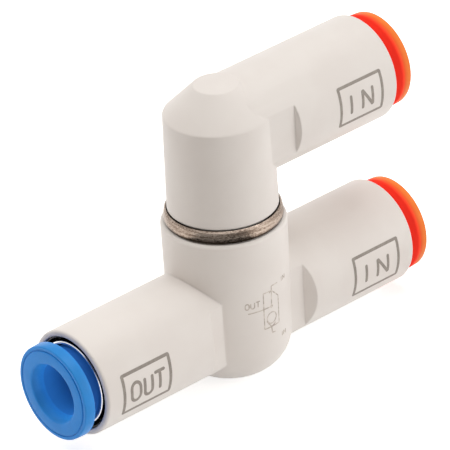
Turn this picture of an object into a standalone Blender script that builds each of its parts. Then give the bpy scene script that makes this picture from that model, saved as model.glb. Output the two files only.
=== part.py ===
# Shuttle valve with three push-in tube ports and a swivelling elbow.
# Metres, +Z up. The origin is the centre of the barrel's flat underside.
# The lower inlet arm points along +X, the outlet arm along -X, and the elbow turns about Z.
# A port's own frame has its origin in the mouth face and +Z pointing out of the mouth.

import math

import bmesh
import bpy

# Clearances
SEAT_GAP = 0.0002  # between pieces that seat on, or press into, each other
SLIDE_GAP = 0.0002  # round the release button in its guide
RING_GAP = 0.00015  # round an O-ring in its groove
CLIP_GAP = 0.00015  # above and below the retaining clip

# Faces round a turned piece, and steps in a quarter of a rounding
OUTER_FACES = 40
INNER_FACES = 24
BUTTON_FACES = 28
ROUND_STEPS = 2
BASE_ROUND_STEPS = 6
O_RING_STEPS = 8

# Push-in cartridge, radii from the tube outwards
TUBE_RADIUS = 0.003175  # quarter-inch tube
TUBE_CLEARANCE = 0.000125
PILOT_CLEARANCE = 0.000075
NECK_WALL = 0.0013
LIP_WALL = 0.0003
GUIDE_WALL = 0.0009
MOUTH_WALL = 0.0007
MOUTH_ROUND = 0.0003
SEAL_STEP = 0.0006
BUTTON_BORE = TUBE_RADIUS + TUBE_CLEARANCE
PILOT_RADIUS = TUBE_RADIUS + PILOT_CLEARANCE
NECK_RADIUS = BUTTON_BORE + NECK_WALL
GUIDE_BORE = NECK_RADIUS + SLIDE_GAP
GUIDE_RADIUS = GUIDE_BORE + GUIDE_WALL
SOCKET_RADIUS = GUIDE_RADIUS + SEAT_GAP
SEAL_BORE = SOCKET_RADIUS - SEAL_STEP
ARM_RADIUS = SOCKET_RADIUS + MOUTH_WALL

# Push-in cartridge, depths from the mouth face inwards
LIP_DEPTH = 0.0004
GUIDE_DEPTH = 0.0022
GUIDE_LENGTH = 0.0024
CATCH_LENGTH = 0.0011
COLLET_LENGTH = 0.0039
SEAL_LENGTH = 0.0022
PILOT_DEPTH = 0.0027
GUIDE_BACK = GUIDE_DEPTH + GUIDE_LENGTH
CATCH_FRONT = GUIDE_BACK - CATCH_LENGTH
COLLET_FRONT = GUIDE_BACK + SEAT_GAP
COLLET_BACK = COLLET_FRONT + COLLET_LENGTH
SEAL_FRONT = COLLET_BACK + SEAT_GAP
SEAL_BACK = SEAL_FRONT + SEAL_LENGTH
PILOT_FRONT = SEAL_BACK + SEAT_GAP
SOCKET_DEPTH = PILOT_FRONT + PILOT_DEPTH

# Release button
BUTTON_STROKE = 0.0012
FLANGE_WIDTH = 0.00145
FLANGE_LENGTH = 0.0015
FLANGE_ROUND = 0.0002
UNDERSIDE_RISE = 0.0005
RIM_WIDTH = 0.0007
RIM_DROP = 0.00012
ENTRY_FLARE = 0.00045
ENTRY_DEPTH = 0.0008
BEAD_HEIGHT = 0.0004
BEAD_LENGTH = 0.0004
BEAD_RAMP = 0.0005
NOSE_WALL = 0.0003
SLOT_WIDTH = 0.0007
BUTTON_SLOTS = 4
FLANGE_RADIUS = NECK_RADIUS + FLANGE_WIDTH
FACE_RADIUS = FLANGE_RADIUS - RIM_WIDTH
BEAD_RADIUS = NECK_RADIUS + BEAD_HEIGHT
CATCH_BORE = BEAD_RADIUS + SLIDE_GAP
UNDERSIDE_FOOT = BUTTON_STROKE + SLIDE_GAP - LIP_DEPTH
FLANGE_BACK = UNDERSIDE_FOOT + UNDERSIDE_RISE
BUTTON_FACE = FLANGE_BACK + FLANGE_LENGTH

# Collet, claw chuck and tube seal
COLLET_EDGE = 0.0002
COLLET_EYE_CLEARANCE = 0.0003
COLLET_SLOTS = 6
COLLET_SLOT_DEPTH = 0.0022
CHUCK_THICKNESS = 0.00035
CLAW_DROP = 0.0012
CLAW_BITE = 0.000025
CLAW_LENGTH = 0.00115
CLAWS = 8
CLAW_SLOT_WIDTH = 0.0005
SEAL_SQUEEZE = 0.000125
SEAL_RELIEF = 0.0007
SEAL_LIP_TIP = 0.0004
SEAL_LIP_ROOT = 0.0014
COLLET_RADIUS = SOCKET_RADIUS - SEAT_GAP
COLLET_EYE = TUBE_RADIUS + COLLET_EYE_CLEARANCE
CHUCK_RADIUS = CATCH_BORE - SEAT_GAP
CLAW_RADIUS = TUBE_RADIUS - CLAW_BITE
CLAW_SLOPE = CLAW_DROP / (CHUCK_RADIUS - CLAW_RADIUS)

# Passages and valve chamber in the barrel, heights from the base upwards
BASE_CLEARANCE = 0.0016
IN_PASSAGE_RADIUS = 0.0013
OUT_PASSAGE_RADIUS = 0.0014
PASSAGE_RIM = 0.00005
FLOOR_WEB = 0.0008
CHAMBER_RADIUS = 0.0044
SEAT_HEIGHT = 0.0008
SEAT_LIP = 0.0007
SEAT_ROUND = 0.0002
SHUTTLE_THICKNESS = 0.002
SHUTTLE_STROKE = 0.0015
SHUTTLE_OVERLAP = 0.0012
SHUTTLE_ROUND = 0.0003
SHUTTLE_DISH = 0.0003
LUG_WIDTH = 0.0012
LUG_HEIGHT = 0.0012
LUGS = 4
ARM_AXIS = BASE_CLEARANCE + ARM_RADIUS
IN_PASSAGE_HEIGHT = ARM_AXIS - (PILOT_RADIUS - IN_PASSAGE_RADIUS - PASSAGE_RIM)
OUT_PASSAGE_HEIGHT = ARM_AXIS + (PILOT_RADIUS - OUT_PASSAGE_RADIUS - PASSAGE_RIM)
CHAMBER_FLOOR = IN_PASSAGE_HEIGHT + IN_PASSAGE_RADIUS + FLOOR_WEB
LOWER_SEAT = CHAMBER_FLOOR + SEAT_HEIGHT
SHUTTLE_FOOT = LOWER_SEAT + SEAT_GAP
UPPER_SEAT = SHUTTLE_FOOT + SHUTTLE_THICKNESS + SHUTTLE_STROKE + SEAT_GAP
SHUTTLE_RADIUS = IN_PASSAGE_RADIUS + SEAT_LIP + SHUTTLE_OVERLAP

# Upper seat bush with its O-ring
UPPER_LIP_HEIGHT = 0.0004
UPPER_HOLE = 0.0016
SEAT_LAND = 0.00035
SEAT_RING_SECTION = 0.0008
RING_ROOM = 0.0002  # spare width of an O-ring's groove
SEAT_FLANGE = 0.0006
SEAT_SHELF = 0.0012
NOSE_FACE = UPPER_SEAT + UPPER_LIP_HEIGHT
SEAT_GROOVE_LOW = NOSE_FACE + SEAT_LAND
SEAT_GROOVE_HIGH = SEAT_GROOVE_LOW + SEAT_RING_SECTION + RING_ROOM
SEAT_FLANGE_LOW = SEAT_GROOVE_HIGH + SEAT_LAND
SEAT_FLANGE_HIGH = SEAT_FLANGE_LOW + SEAT_FLANGE
SEAT_SHOULDER = SEAT_FLANGE_LOW - SEAT_GAP
SEAT_GROOVE_RADIUS = CHAMBER_RADIUS - 2 * RING_GAP - SEAT_RING_SECTION

# Swivel: the elbow's spigot, its O-ring, the clip that holds it and the collar
SPIGOT_LAND = 0.0004
SWIVEL_RING_SECTION = 0.001
CLIP_THICKNESS = 0.0006
CLIP_SHELF_WIDTH = 0.0008
CLIP_BITE = 0.0004
CLIP_OPENING = 0.0045
SKIRT_LENGTH = 0.0016
COLLAR_WEB = 0.0004
COLLAR_BAND = 0.00105
COLLAR_BEVEL = 0.00018
COLLAR_RIM = 0.00035
COLLAR_EDGE = 0.00006
SWIVEL_BORE = CHAMBER_RADIUS + SEAT_SHELF
SPIGOT_RADIUS = SWIVEL_BORE - SEAT_GAP
SPIGOT_END = SEAT_FLANGE_HIGH + SEAT_GAP
SWIVEL_GROOVE_LOW = SPIGOT_END + SPIGOT_LAND
SWIVEL_GROOVE_HIGH = SWIVEL_GROOVE_LOW + SWIVEL_RING_SECTION + RING_ROOM
SWIVEL_GROOVE_RADIUS = SWIVEL_BORE - 2 * RING_GAP - SWIVEL_RING_SECTION
CLIP_SHELF = SWIVEL_GROOVE_HIGH + SPIGOT_LAND
CLIP_LOW = CLIP_SHELF + CLIP_GAP
CLIP_HIGH = CLIP_LOW + CLIP_THICKNESS
SKIRT_END = CLIP_HIGH + CLIP_GAP
CLIP_BORE = SPIGOT_RADIUS - CLIP_BITE
CLIP_GROOVE_RADIUS = CLIP_BORE - SEAT_GAP
COUNTERBORE = SWIVEL_BORE + CLIP_SHELF_WIDTH
SKIRT_RADIUS = COUNTERBORE - SEAT_GAP
BARREL_TOP = SKIRT_END + SKIRT_LENGTH
COLLAR_BOTTOM = BARREL_TOP + SEAT_GAP
COLLAR_FLOOR = COLLAR_BOTTOM + COLLAR_WEB
ELBOW_FOOT = COLLAR_FLOOR + SEAT_GAP

# Elbow
ELBOW_STEP = 0.0012
ELBOW_DRAFT = 0.00023
ELBOW_FOOT_ROUND = 0.0002
ARM_RISE = 0.00338
CAP_RADIUS = 0.00272
CAP_PROUD = 0.00005
CONE_DROP = 0.00367
CONE_ROUND = 0.0004
ELBOW_PASSAGE_RADIUS = 0.0026
ELBOW_STOP = 0.00875  # tube stop, from the swivel axis
ELBOW_RADIUS = SPIGOT_RADIUS + ELBOW_STEP
CONE_FOOT_RADIUS = ELBOW_RADIUS - ELBOW_DRAFT
ELBOW_AXIS = ELBOW_FOOT + ARM_RISE + ARM_RADIUS
ELBOW_TOP = ELBOW_AXIS + ARM_RADIUS + CAP_PROUD
ELBOW_MOUTH = ELBOW_STOP + SOCKET_DEPTH
COLLAR_RECESS = ELBOW_RADIUS + SEAT_GAP
COLLAR_RADIUS = COLLAR_RECESS + COLLAR_RIM

# Barrel and lower arms
COLLAR_LEDGE = 0.00005
BARREL_SHOULDER = 0.00035
BARREL_DRAFT = 0.00018
BASE_ROUND = 0.005
IN_STOP = 0.0103  # tube stops, from the barrel's axis
OUT_STOP = 0.01075
ARM_ROOT = 0.001
BARREL_NECK = COLLAR_RADIUS + COLLAR_LEDGE
BARREL_RADIUS = BARREL_NECK + BARREL_SHOULDER
BARREL_FOOT_RADIUS = BARREL_RADIUS - BARREL_DRAFT
IN_MOUTH = IN_STOP + SOCKET_DEPTH
OUT_MOUTH = OUT_STOP + SOCKET_DEPTH

# Side flats where the arms leave the barrel and the elbow's upright
LOWER_FLAT_DEPTH = 0.0014
LOWER_FLAT_REACH = 0.00748
LOWER_FLAT_SLOPE = 0.00081
UPPER_FLAT_DEPTH = 0.00066
UPPER_FLAT_REACH = 0.00689
UPPER_FLAT_SLOPE = 0.00028

# How far a cutter runs past the surface that it opens
OVERRUN = 0.001

# Colour, roughness and metallic value of each finish
FINISHES = {
    "warm_white_resin": ((0.76, 0.72, 0.67), 0.38, 0.0),
    "nickel_plate": ((0.68, 0.62, 0.57), 0.24, 1.0),
    "blue_resin": ((0.05, 0.22, 0.58), 0.32, 0.0),
    "orange_resin": ((0.90, 0.13, 0.02), 0.32, 0.0),
    "natural_resin": ((0.80, 0.78, 0.72), 0.45, 0.0),
    "spring_steel": ((0.55, 0.55, 0.55), 0.28, 1.0),
    "black_rubber": ((0.02, 0.02, 0.02), 0.60, 0.0),
    "brass": ((0.70, 0.48, 0.20), 0.28, 1.0),
}


def clear_scene():
    for item in list(bpy.data.objects):
        bpy.data.objects.remove(item, do_unlink=True)


def new_collection(name):
    collection = bpy.data.collections.new(name)
    bpy.context.scene.collection.children.link(collection)
    return collection


def new_finish(piece_name, finish_name):
    colour, roughness, metallic = FINISHES[finish_name]
    material = bpy.data.materials.new(piece_name + "_" + finish_name)
    material.use_nodes = True
    shader = material.node_tree.nodes["Principled BSDF"]
    shader.inputs["Base Color"].default_value = (*colour, 1.0)
    shader.inputs["Roughness"].default_value = roughness
    shader.inputs["Metallic"].default_value = metallic
    return material


def new_object(name, mesh, collection, parent=None):
    item = bpy.data.objects.new(name, mesh)
    collection.objects.link(item)
    item.parent = parent
    return item


def new_cutter(name, mesh, parent=None):
    cutter = new_object(name, mesh, cutters, parent)
    cutter.hide_render = True
    cutter.display_type = "WIRE"
    return cutter


def arc(centre, radius, start, end, steps=ROUND_STEPS):
    # Points of a rounding in the profile plane, angles in degrees from +R towards +Z
    points = []
    for step in range(steps + 1):
        angle = math.radians(start + (end - start) * step / steps)
        points.append((centre[0] + radius * math.cos(angle), centre[1] + radius * math.sin(angle)))
    return points


def turn(item, faces):
    screw = item.modifiers.new("turn", "SCREW")
    screw.axis = "Z"
    screw.steps = faces
    screw.render_steps = faces
    screw.use_merge_vertices = True
    screw.merge_threshold = 0.00001
    screw.use_smooth_shade = True
    return item


def profile_mesh(name, points, closed):
    # The profile runs down its outer side first, so the turned faces point out
    mesh = bpy.data.meshes.new(name)
    edges = [(index, index + 1) for index in range(len(points) - 1)]
    if closed:
        edges.append((len(points) - 1, 0))
    mesh.from_pydata([(radius, 0.0, height) for radius, height in points], edges, [])
    return mesh


def turned_piece(name, points, faces, parent=None, ring=True):
    # A ring's profile is closed; a solid's profile starts and ends on the axis
    return turn(new_object(name, profile_mesh(name, points, ring), parts, parent), faces)


def turned_cutter(name, points, faces, parent=None):
    return turn(new_cutter(name, profile_mesh(name, points, False), parent), faces)


def box_mesh(name, low, high):
    mesh = bpy.data.meshes.new(name)
    shape = bmesh.new()
    bmesh.ops.create_cube(shape, size=1.0)
    for vertex in shape.verts:
        for axis in range(3):
            vertex.co[axis] = high[axis] if vertex.co[axis] > 0 else low[axis]
    shape.to_mesh(mesh)
    shape.free()
    return mesh


def boolean(target, other, operation):
    modifier = target.modifiers.new(operation.lower(), "BOOLEAN")
    modifier.operation = operation
    modifier.object = other


def cut(target, cutter):
    boolean(target, cutter, "DIFFERENCE")


def join(target, other):
    boolean(target, other, "UNION")


def cut_slots(piece, count, width, reach, low, high, parent):
    # Each long box crosses the axis and makes two opposite slots
    for index in range(count // 2):
        name = piece.name + "_slot_" + str(index + 1)
        blade = new_cutter(name, box_mesh(name, (-reach, -width / 2, low), (reach, width / 2, high)), parent)
        blade.rotation_euler.z = 2 * math.pi * (index + 0.5) / count
        cut(piece, blade)


def port_frame(name, mouth, height, side, parent=None):
    # An empty in the mouth face, with its +Z out of the mouth
    frame = new_object(name, None, parts, parent)
    frame.location = (side * mouth, 0.0, height)
    frame.rotation_euler.y = side * math.pi / 2
    return frame


def arm_solid(name, length, flat_depth, flat_reach, flat_slope, frame):
    # A plain round arm with side flats near its root, in its port's frame
    outline = [(0.0, 0.0)]
    outline += arc((ARM_RADIUS - MOUTH_ROUND, -MOUTH_ROUND), MOUTH_ROUND, 90, 0)
    outline += [(ARM_RADIUS, -length + ARM_ROOT), (0.0, -length + ARM_ROOT)]
    arm = turn(new_cutter(name, profile_mesh(name, outline, False), frame), OUTER_FACES)
    for side in (-1, 1):
        cut(arm, flat_cutter(name, length, flat_depth, flat_reach, flat_slope, side, frame))
    return arm


def flat_cutter(name, length, depth, reach, slope, side, frame):
    # A block beside the arm whose outer end leans away from the barrel
    inner = ARM_RADIUS - depth
    outer = ARM_RADIUS + OVERRUN
    low = (-outer, min(side * inner, side * outer), -length)
    high = (outer, max(side * inner, side * outer), -length + reach)
    mesh = box_mesh(name + "_flat", low, high)
    for vertex in mesh.vertices:
        if vertex.co.z > -length and abs(vertex.co.y) > ARM_RADIUS:
            vertex.co.z += slope * (depth + OVERRUN) / depth
    return new_cutter(name + "_flat", mesh, frame)


def socket_cutter(name, frame):
    # The stepped bore that takes the cartridge and the tube
    outline = [
        (0.0, OVERRUN),
        (SOCKET_RADIUS, OVERRUN),
        (SOCKET_RADIUS, -SEAL_FRONT),
        (SEAL_BORE, -SEAL_FRONT),
        (SEAL_BORE, -PILOT_FRONT),
        (PILOT_RADIUS, -PILOT_FRONT),
        (PILOT_RADIUS, -SOCKET_DEPTH),
        (0.0, -SOCKET_DEPTH),
    ]
    return turned_cutter(name, outline, INNER_FACES, frame)


def passage_cutter(name, radius, start, end, height, parent=None):
    # A round passage along X, from the tube stop to the chamber or the swivel axis
    outline = [(0.0, end), (radius, end), (radius, start), (0.0, start)]
    cutter = turned_cutter(name, outline, INNER_FACES, parent)
    cutter.location.z = height
    cutter.rotation_euler.y = math.pi / 2
    return cutter


def lower_body(in_frame, out_frame):
    outline = [(0.0, BARREL_TOP), (BARREL_NECK, BARREL_TOP)]
    outline += arc((BARREL_NECK, BARREL_TOP - BARREL_SHOULDER), BARREL_SHOULDER, 90, 0)[1:]
    outline += arc(
        (BARREL_FOOT_RADIUS - BASE_ROUND, BASE_ROUND), BASE_ROUND, 0, -90, BASE_ROUND_STEPS
    )
    outline += [(0.0, 0.0)]
    body = turned_piece("lower_body", outline, OUTER_FACES, ring=False)
    for name, length, frame in (("inlet_arm", IN_MOUTH, in_frame), ("outlet_arm", OUT_MOUTH, out_frame)):
        arm = arm_solid(name, length, LOWER_FLAT_DEPTH, LOWER_FLAT_REACH, LOWER_FLAT_SLOPE, frame)
        join(body, arm)
        cut(body, socket_cutter(name + "_socket", frame))
    cut(body, chamber_cutter())
    cut(body, inlet_riser_cutter())
    in_start = -IN_PASSAGE_RADIUS
    in_end = IN_STOP + OVERRUN
    cut(body, passage_cutter("inlet_passage", IN_PASSAGE_RADIUS, in_start, in_end, IN_PASSAGE_HEIGHT))
    out_start = -OUT_STOP - OVERRUN
    out_end = -CHAMBER_RADIUS + OVERRUN
    cut(body, passage_cutter("outlet_passage", OUT_PASSAGE_RADIUS, out_start, out_end, OUT_PASSAGE_HEIGHT))
    return body


def chamber_cutter():
    # Stepped bore from the barrel's top down to the chamber floor, round the raised lower seat
    seat_middle = IN_PASSAGE_RADIUS + SEAT_LIP / 2
    seat_half = SEAT_LIP / 2
    outline = [
        (0.0, BARREL_TOP + OVERRUN),
        (COUNTERBORE, BARREL_TOP + OVERRUN),
        (COUNTERBORE, CLIP_SHELF),
        (SWIVEL_BORE, CLIP_SHELF),
        (SWIVEL_BORE, SEAT_SHOULDER),
        (CHAMBER_RADIUS, SEAT_SHOULDER),
        (CHAMBER_RADIUS, CHAMBER_FLOOR),
        (seat_middle + seat_half, CHAMBER_FLOOR),
        (seat_middle + seat_half, LOWER_SEAT - SEAT_ROUND),
        (seat_middle + seat_half - SEAT_ROUND, LOWER_SEAT),
        (0.0, LOWER_SEAT),
    ]
    return turned_cutter("valve_chamber", outline, INNER_FACES)


def inlet_riser_cutter():
    # Upright hole through the lower seat, down to the inlet passage, with a chamfered mouth
    top = LOWER_SEAT + OVERRUN
    outline = [
        (0.0, top),
        (IN_PASSAGE_RADIUS + SEAT_ROUND, top),
        (IN_PASSAGE_RADIUS + SEAT_ROUND, LOWER_SEAT),
        (IN_PASSAGE_RADIUS, LOWER_SEAT - SEAT_ROUND),
        (IN_PASSAGE_RADIUS, IN_PASSAGE_HEIGHT),
        (0.0, IN_PASSAGE_HEIGHT),
    ]
    return turned_cutter("inlet_riser", outline, INNER_FACES)


def elbow_body(elbow, frame):
    cone_foot = ELBOW_TOP - CONE_DROP
    cone_lean = math.degrees(math.atan2(CONE_FOOT_RADIUS - CAP_RADIUS, CONE_DROP))
    round_middle = cone_foot - CONE_ROUND * math.tan(math.radians(cone_lean) / 2)
    outline = [(0.0, ELBOW_TOP), (CAP_RADIUS, ELBOW_TOP)]
    outline += arc((CONE_FOOT_RADIUS - CONE_ROUND, round_middle), CONE_ROUND, 90 - cone_lean, 0)
    outline += arc((ELBOW_RADIUS - ELBOW_FOOT_ROUND, ELBOW_FOOT + ELBOW_FOOT_ROUND), ELBOW_FOOT_ROUND, 0, -90)
    outline += [
        (SPIGOT_RADIUS, ELBOW_FOOT),
        (SPIGOT_RADIUS, SKIRT_END),
        (CLIP_GROOVE_RADIUS, SKIRT_END),
        (CLIP_GROOVE_RADIUS, CLIP_SHELF),
        (SPIGOT_RADIUS, CLIP_SHELF),
        (SPIGOT_RADIUS, SWIVEL_GROOVE_HIGH),
        (SWIVEL_GROOVE_RADIUS, SWIVEL_GROOVE_HIGH),
        (SWIVEL_GROOVE_RADIUS, SWIVEL_GROOVE_LOW),
        (SPIGOT_RADIUS, SWIVEL_GROOVE_LOW),
        (SPIGOT_RADIUS, SPIGOT_END),
        (0.0, SPIGOT_END),
    ]
    body = turned_piece("elbow_body", outline, OUTER_FACES, elbow, ring=False)
    arm = arm_solid("elbow_arm", ELBOW_MOUTH, UPPER_FLAT_DEPTH, UPPER_FLAT_REACH, UPPER_FLAT_SLOPE, frame)
    join(body, arm)
    cut(body, socket_cutter("elbow_socket", frame))
    riser = [
        (0.0, ELBOW_AXIS),
        (ELBOW_PASSAGE_RADIUS, ELBOW_AXIS),
        (ELBOW_PASSAGE_RADIUS, SPIGOT_END - OVERRUN),
        (0.0, SPIGOT_END - OVERRUN),
    ]
    cut(body, turned_cutter("elbow_riser", riser, INNER_FACES, elbow))
    level = passage_cutter(
        "elbow_passage", ELBOW_PASSAGE_RADIUS, -ELBOW_PASSAGE_RADIUS, ELBOW_STOP + OVERRUN, ELBOW_AXIS, elbow
    )
    cut(body, level)
    return body


def swivel_collar():
    outline = [
        (COLLAR_RECESS + COLLAR_EDGE, COLLAR_BOTTOM + COLLAR_BAND + COLLAR_BEVEL),
        (COLLAR_RADIUS, COLLAR_BOTTOM + COLLAR_BAND),
        (COLLAR_RADIUS, COLLAR_BOTTOM),
        (SKIRT_RADIUS, COLLAR_BOTTOM),
        (SKIRT_RADIUS, SKIRT_END),
        (SWIVEL_BORE, SKIRT_END),
        (SWIVEL_BORE, COLLAR_FLOOR),
        (COLLAR_RECESS, COLLAR_FLOOR),
        (COLLAR_RECESS, COLLAR_BOTTOM + COLLAR_BAND + COLLAR_BEVEL),
    ]
    return turned_piece("swivel_collar", outline, OUTER_FACES)


def retaining_clip():
    # An open ring, trapped under the collar, whose inner edge holds the spigot down
    outline = [
        (SKIRT_RADIUS, CLIP_HIGH),
        (SKIRT_RADIUS, CLIP_LOW),
        (CLIP_BORE, CLIP_LOW),
        (CLIP_BORE, CLIP_HIGH),
    ]
    clip = turned_piece("retaining_clip", outline, BUTTON_FACES)
    low = (-COUNTERBORE, -CLIP_OPENING / 2, CLIP_LOW - OVERRUN)
    high = (0.0, CLIP_OPENING / 2, CLIP_HIGH + OVERRUN)
    cut(clip, new_cutter("clip_opening", box_mesh("clip_opening", low, high)))
    return clip


def o_ring(name, groove_radius, groove_low, section, parent=None):
    centre = groove_radius + RING_GAP + section / 2
    height = groove_low + (section + RING_ROOM) / 2
    outline = arc((centre, height), section / 2, 90, -270, O_RING_STEPS)[:-1]
    return turned_piece(name, outline, BUTTON_FACES, parent)


def upper_seat():
    # A flanged bush with a raised lip that the shuttle closes against from below
    seat_half = SEAT_LIP / 2
    seat_middle = UPPER_HOLE + seat_half
    nose_radius = CHAMBER_RADIUS - SEAT_GAP
    outline = [
        (SWIVEL_BORE - SEAT_GAP, SEAT_FLANGE_HIGH),
        (SWIVEL_BORE - SEAT_GAP, SEAT_FLANGE_LOW),
        (nose_radius, SEAT_FLANGE_LOW),
        (nose_radius, SEAT_GROOVE_HIGH),
        (SEAT_GROOVE_RADIUS, SEAT_GROOVE_HIGH),
        (SEAT_GROOVE_RADIUS, SEAT_GROOVE_LOW),
        (nose_radius, SEAT_GROOVE_LOW),
        (nose_radius, NOSE_FACE),
        (seat_middle + seat_half, NOSE_FACE),
    ]
    outline += [
        (seat_middle + seat_half - SEAT_ROUND, UPPER_SEAT),
        (seat_middle - seat_half + SEAT_ROUND, UPPER_SEAT),
        (UPPER_HOLE, UPPER_SEAT + SEAT_ROUND),
        (UPPER_HOLE, SEAT_FLANGE_HIGH),
    ]
    return turned_piece("upper_seat", outline, INNER_FACES)


def shuttle():
    # A rubber disc with guide lugs, free to move between the two seats
    top = SHUTTLE_FOOT + SHUTTLE_THICKNESS
    outline = [(0.0, top - SHUTTLE_DISH), (IN_PASSAGE_RADIUS - SHUTTLE_DISH, top - SHUTTLE_DISH)]
    outline += [(IN_PASSAGE_RADIUS, top)]
    outline += arc((SHUTTLE_RADIUS - SHUTTLE_ROUND, top - SHUTTLE_ROUND), SHUTTLE_ROUND, 90, 0)
    outline += arc((SHUTTLE_RADIUS - SHUTTLE_ROUND, SHUTTLE_FOOT + SHUTTLE_ROUND), SHUTTLE_ROUND, 0, -90)
    outline += [
        (IN_PASSAGE_RADIUS, SHUTTLE_FOOT),
        (IN_PASSAGE_RADIUS - SHUTTLE_DISH, SHUTTLE_FOOT + SHUTTLE_DISH),
        (0.0, SHUTTLE_FOOT + SHUTTLE_DISH),
    ]
    disc = turned_piece("shuttle", outline, INNER_FACES, ring=False)
    middle = SHUTTLE_FOOT + SHUTTLE_THICKNESS / 2
    lug_end = CHAMBER_RADIUS - SLIDE_GAP
    for index in range(LUGS):
        name = "shuttle_lug_" + str(index + 1)
        low = (SHUTTLE_RADIUS - OVERRUN, -LUG_WIDTH / 2, middle - LUG_HEIGHT / 2)
        high = (lug_end - LUG_WIDTH * LUG_WIDTH / (8 * lug_end), LUG_WIDTH / 2, middle + LUG_HEIGHT / 2)
        lug = new_cutter(name, box_mesh(name, low, high))
        lug.rotation_euler.z = 2 * math.pi * (index + 0.5) / LUGS
        join(disc, lug)
    return disc


def guide_ring(name, frame):
    # Pressed into the mouth; its thin lip guides the button and its undercut catches the button's bead
    outline = [
        (GUIDE_BORE + LIP_WALL, -LIP_DEPTH),
        (GUIDE_BORE + LIP_WALL, -GUIDE_DEPTH),
        (GUIDE_RADIUS, -GUIDE_DEPTH),
        (GUIDE_RADIUS, -GUIDE_BACK),
        (CATCH_BORE, -GUIDE_BACK),
        (CATCH_BORE, -CATCH_FRONT),
        (GUIDE_BORE, -CATCH_FRONT),
        (GUIDE_BORE, -LIP_DEPTH),
    ]
    return turned_piece(name, outline, INNER_FACES, frame)


def collet_seat_height(radius):
    # Height of the collet's conical seat, in the port's frame
    return -(COLLET_BACK - COLLET_EDGE) + CLAW_SLOPE * (radius - COLLET_EYE)


def chuck_back(radius):
    return collet_seat_height(radius) + SEAT_GAP


def chuck_front(radius):
    return chuck_back(radius) + CHUCK_THICKNESS


def collet(name, frame):
    # A slotted cup with a conical floor that the claw chuck lies in
    outline = [
        (COLLET_RADIUS, -COLLET_FRONT),
        (COLLET_RADIUS, -COLLET_BACK),
        (COLLET_EYE, -COLLET_BACK),
        (COLLET_EYE, collet_seat_height(COLLET_EYE)),
        (CATCH_BORE, collet_seat_height(CATCH_BORE)),
        (CATCH_BORE, -COLLET_FRONT),
    ]
    cup = turned_piece(name, outline, INNER_FACES, frame)
    low = -COLLET_FRONT - COLLET_SLOT_DEPTH
    high = -COLLET_FRONT + OVERRUN
    cut_slots(cup, COLLET_SLOTS, SLOT_WIDTH, COLLET_RADIUS + OVERRUN, low, high, frame)
    return cup


def claw_chuck(name, frame):
    # A coned spring disc whose claws lean inwards and grip the tube
    outline = [
        (CHUCK_RADIUS, chuck_front(CHUCK_RADIUS)),
        (CHUCK_RADIUS, chuck_back(CHUCK_RADIUS)),
        (CLAW_RADIUS, chuck_back(CLAW_RADIUS)),
        (CLAW_RADIUS, chuck_front(CLAW_RADIUS)),
    ]
    disc = turned_piece(name, outline, INNER_FACES, frame)
    low = -COLLET_BACK - OVERRUN
    cut_slots(disc, CLAWS, CLAW_SLOT_WIDTH, CLAW_RADIUS + CLAW_LENGTH, low, -COLLET_FRONT, frame)
    return disc


def tube_seal(name, frame):
    # A rubber ring with one rounded lip that closes on the tube
    middle = -(SEAL_FRONT + SEAL_BACK) / 2
    inner = TUBE_RADIUS + SEAL_RELIEF
    lip = TUBE_RADIUS - SEAL_SQUEEZE
    outline = [
        (SEAL_BORE - SEAT_GAP, -SEAL_FRONT),
        (SEAL_BORE - SEAT_GAP, -SEAL_BACK),
        (inner, -SEAL_BACK),
        (inner, middle - SEAL_LIP_ROOT / 2),
        (lip, middle - SEAL_LIP_TIP / 2),
        (lip, middle + SEAL_LIP_TIP / 2),
        (inner, middle + SEAL_LIP_ROOT / 2),
        (inner, -SEAL_FRONT),
    ]
    return turned_piece(name, outline, INNER_FACES, frame)


def release_button(name, frame):
    # Flanged sleeve: flange outside the mouth, bead behind the guide, coned nose in front of the claws
    bead_front = -CATCH_FRONT - SLIDE_GAP
    nose_radius = BUTTON_BORE + NOSE_WALL
    nose_end = chuck_front(nose_radius) + BUTTON_STROKE + SLIDE_GAP
    outline = [(FACE_RADIUS, BUTTON_FACE), (FACE_RADIUS + RIM_DROP, BUTTON_FACE - RIM_DROP)]
    rim_top = BUTTON_FACE - RIM_DROP - FLANGE_ROUND
    outline += arc((FLANGE_RADIUS - FLANGE_ROUND, rim_top), FLANGE_ROUND, 90, 0)
    outline += arc((FLANGE_RADIUS - FLANGE_ROUND, FLANGE_BACK + FLANGE_ROUND), FLANGE_ROUND, 0, -90)
    outline += [
        (NECK_RADIUS, UNDERSIDE_FOOT),
        (NECK_RADIUS, bead_front),
        (BEAD_RADIUS, bead_front),
        (BEAD_RADIUS, bead_front - BEAD_LENGTH),
        (NECK_RADIUS, bead_front - BEAD_LENGTH - BEAD_RAMP),
        (nose_radius, nose_end),
        (BUTTON_BORE, nose_end),
        (BUTTON_BORE, BUTTON_FACE - ENTRY_DEPTH),
        (BUTTON_BORE + ENTRY_FLARE, BUTTON_FACE),
    ]
    button = turned_piece(name, outline, BUTTON_FACES, frame)
    low = nose_end - OVERRUN
    cut_slots(button, BUTTON_SLOTS, SLOT_WIDTH, BEAD_RADIUS + OVERRUN, low, -GUIDE_DEPTH, frame)
    return button


def cartridge(port, frame):
    guide_ring("guide_ring_" + port, frame)
    collet("collet_" + port, frame)
    claw_chuck("claw_chuck_" + port, frame)
    tube_seal("tube_seal_" + port, frame)
    release_button("release_button_" + port, frame)


def finish_of(name):
    if name.startswith("release_button"):
        return "blue_resin" if name.endswith("out") else "orange_resin"
    if name.startswith(("guide_ring", "swivel_collar")):
        return "nickel_plate"
    if name.startswith("collet"):
        return "natural_resin"
    if name.startswith(("claw_chuck", "retaining_clip")):
        return "spring_steel"
    if name.startswith(("tube_seal", "shuttle")) or name.endswith("o_ring"):
        return "black_rubber"
    if name == "upper_seat":
        return "brass"
    return "warm_white_resin"


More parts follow.
